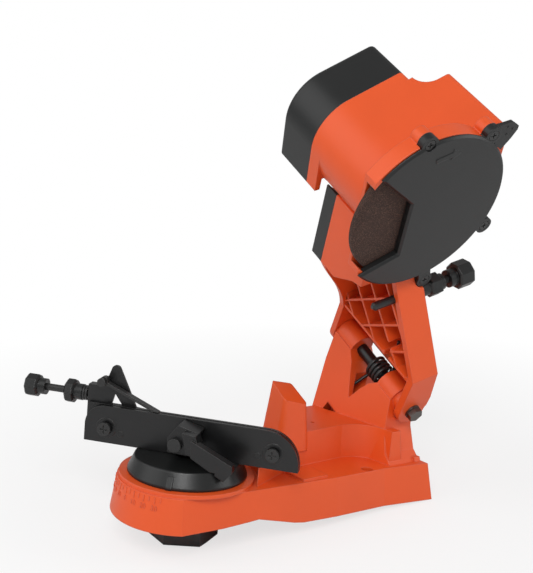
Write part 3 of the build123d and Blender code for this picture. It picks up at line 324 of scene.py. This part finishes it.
def bare_steel(name, tone, roughness):
    material, shader, tree = surface(name, roughness, metallic=1.0)
    place = tree.node("TexCoord", output="Object")
    line_scale = (900.0, 900.0, 60.0)
    stretched = tree.node("Mapping", inputs={"Vector": place, "Scale": line_scale})
    lines = noise(tree, stretched, scale=1.0, detail=4.0)
    soft, _ = edges(tree, radius=0.0003)
    dark = tuple(c * 0.8 for c in tone)
    feed(mix(tree, lines, dark, tone), shader, "Base Color")
    feed(roughness + lines * 0.12, shader, "Roughness")
    feed(bump(tree, 0.1, 0.00005, lines, soft), shader, "Normal")
    return material


bright_steel = bare_steel("bright_steel", linear(190, 188, 184), 0.26)
dark_steel = bare_steel("dark_zinc_steel", linear(105, 103, 100), 0.32)
dress(bright_steel, "rotor_shaft", "inner_flange", "outer_flange", "wheel_nut", "front_bearing",
      "rear_bearing", "stator")
dress(dark_steel, "pivot_bolt", "pivot_washer")


# Motor insides, behind the cover's slots: field coils of enamelled copper wire, and carbon
# brushes pressed from powder.

def winding():
    material, shader, tree = surface("copper_winding", 0.35, metallic=0.8)
    place = tree.node("TexCoord", output="Object")
    turns = {"Vector": place, "Scale": 700.0, "Distortion": 1.5}
    wires = tree.node("TexWave", {"bands_direction": "Z"}, turns, output="Fac")
    tones = [(0.0, linear(90, 40, 20)), (1.0, linear(205, 120, 70))]
    feed(tree.node("ValToRGB", {"stops": tones}, {0: wires}), shader, "Base Color")
    feed(bump(tree, 0.5, 0.0002, wires), shader, "Normal")
    return material


dress(winding(), "field_coils")
dress(black_moulding("carbon", linear(38, 38, 40), 3000.0, 0.7), "brushes")


# Grinding wheel: a thin brown resin-bonded disc between the flanges, speckled with pale and
# dark grit, in broad patches that differ a little in tone.

def abrasive():
    material, shader, tree = surface("brown_abrasive", 0.85)
    place = tree.node("TexCoord", output="Object")
    grit = tree.node("TexVoronoi", inputs={"Vector": place, "Scale": 1400.0}, output="Distance")
    patch = noise(tree, place, scale=35.0, detail=4.0)
    tones = [(0.0, linear(30, 19, 15)), (0.45, linear(52, 34, 27)), (0.8, linear(92, 66, 54))]
    speck = tree.node("ValToRGB", {"stops": tones}, {0: grit})
    tint = mix(tree, patch * 0.5, speck, linear(190, 165, 150), "MULTIPLY")
    feed(tint, shader, "Base Color")
    feed(0.75 + patch * 0.2, shader, "Roughness")
    feed(bump(tree, 0.6, 0.0003, grit), shader, "Normal")
    return material


dress(abrasive(), "grinding_wheel")


# Studio: the machine stands on its clamp knob and the right end of its base, as in the
# photograph, on a plain pale floor that fades to white, under large soft lamps.

KNOB_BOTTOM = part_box("clamp_knob")[0][2]
BASE_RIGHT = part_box("base_casting")[1][0]
STAND_TILT = math.atan2(-KNOB_BOTTOM, BASE_RIGHT - TABLE_AXIS.x)
FLOOR_HALF = 6.0
FLOOR_GAP = 0.0004
FLOOR_GREY = (0.86, 0.86, 0.86, 1)
FADE_FROM = 0.2
FADE_TO = 0.5
WHITE_NEAR = 0.7
WHITE_FAR = 1.0
STUDIO_LIGHT = 0.40
CENTRE = Vector((-0.03, -0.03, 0.12))
WHITE = (1, 1, 1, 1)


def floor():
    """Large pale plane through the knob's foot and the base's right end."""
    mesh = bpy.data.meshes.new("floor")
    corners = [(-1, -1), (1, -1), (1, 1), (-1, 1)]
    mesh.from_pydata([(x * FLOOR_HALF, y * FLOOR_HALF, 0) for x, y in corners], [], [(0, 1, 2, 3)])
    hinge = Matrix.Translation((BASE_RIGHT, 0, -FLOOR_GAP))
    mesh.transform(hinge @ Matrix.Rotation(-STAND_TILT, 4, "Y"))
    material, shader, tree = surface("pale_floor", 0.9)
    shader.inputs["Base Color"].default_value = FLOOR_GREY
    seen = tree.node("LightPath", output="Is Camera Ray")
    place = tree.node("TexCoord", output="Object")
    away = tree.node("VectorMath", {"operation": "LENGTH"}, {0: place}, output="Value")
    fading = {0: away, 1: FADE_FROM, 2: FADE_TO, 3: WHITE_NEAR, 4: WHITE_FAR}
    fade = tree.node("MapRange", inputs=fading)
    glow = tree.node("Emission", inputs={"Color": WHITE, "Strength": 1.0})
    paint = Value(tree.tree, shader.outputs[0])
    mixed = tree.node("MixShader", inputs={0: seen * fade, 1: paint, 2: glow})
    tree.tree.links.new(mixed.output, tree.tree.nodes["Material Output"].inputs["Surface"])
    mesh.materials.append(material)
    piece = bpy.data.objects.new("floor", mesh)
    bpy.context.collection.objects.link(piece)


def lamp(name, place, size, power):
    """Round soft lamp aimed at the middle of the machine."""
    data = bpy.data.lights.new(name, "AREA")
    data.shape = "DISK"
    data.size = size
    data.energy = power
    piece = bpy.data.objects.new(name, data)
    piece.location = place
    piece.rotation_euler = (CENTRE - Vector(place)).to_track_quat("-Z", "Y").to_euler()
    bpy.context.collection.objects.link(piece)


def studio_world():
    """Even light on the object, and white where the camera looks past it."""
    world = bpy.data.worlds.new("studio")
    bpy.context.scene.world = world
    world.use_nodes = True
    sky = Value(world.node_tree)
    studio = sky.node("Background", inputs={"Color": WHITE, "Strength": STUDIO_LIGHT})
    white = sky.node("Background", inputs={"Color": WHITE, "Strength": 1.0})
    seen = sky.node("LightPath", output="Is Camera Ray")
    mixed = sky.node("MixShader", inputs={0: seen, 1: studio, 2: white})
    output = world.node_tree.nodes["World Output"]
    world.node_tree.links.new(mixed.output, output.inputs["Surface"])


floor()
lamp("key_lamp", (-1.1, -1.0, 1.2), 0.9, 16.0)
lamp("fill_lamp", (-1.2, 0.5, 0.9), 1.5, 6.0)
lamp("right_lamp", (1.2, -1.2, 0.9), 1.2, 7.0)
studio_world()


# Camera at the photograph's place: 40 degrees to the left of the front, 10 degrees up, turned
# with the machine's lean on its knob.

CAMERA_PLACE = Vector((-0.5388, -0.5646, 0.2802))
CAMERA_AZIMUTH = math.radians(-39.72)
CAMERA_ELEVATION = math.radians(9.73)
CAMERA_ROLL = math.radians(5.0)
FOCAL_PIXELS = 1082.5
PHOTO_WIDTH = 533
SENSOR_WIDTH = 36.0


def camera():
    level_part = math.cos(CAMERA_ELEVATION)
    back = Vector((math.sin(CAMERA_AZIMUTH) * level_part, -math.cos(CAMERA_AZIMUTH) * level_part,
                   math.sin(CAMERA_ELEVATION)))
    level = Vector((0, 0, 1)).cross(back).normalized()
    upright = back.cross(level)
    right = level * math.cos(CAMERA_ROLL) + upright * math.sin(CAMERA_ROLL)
    up = back.cross(right)
    data = bpy.data.cameras.new("camera")
    data.sensor_fit = "HORIZONTAL"
    data.sensor_width = SENSOR_WIDTH
    data.lens = FOCAL_PIXELS * SENSOR_WIDTH / PHOTO_WIDTH
    piece = bpy.data.objects.new("camera", data)
    turn = Matrix((right, up, back)).transposed().to_4x4()
    piece.matrix_world = Matrix.Translation(CAMERA_PLACE) @ turn
    bpy.context.collection.objects.link(piece)
    bpy.context.scene.camera = piece


camera()
bpy.context.scene.view_settings.view_transform = "Standard"
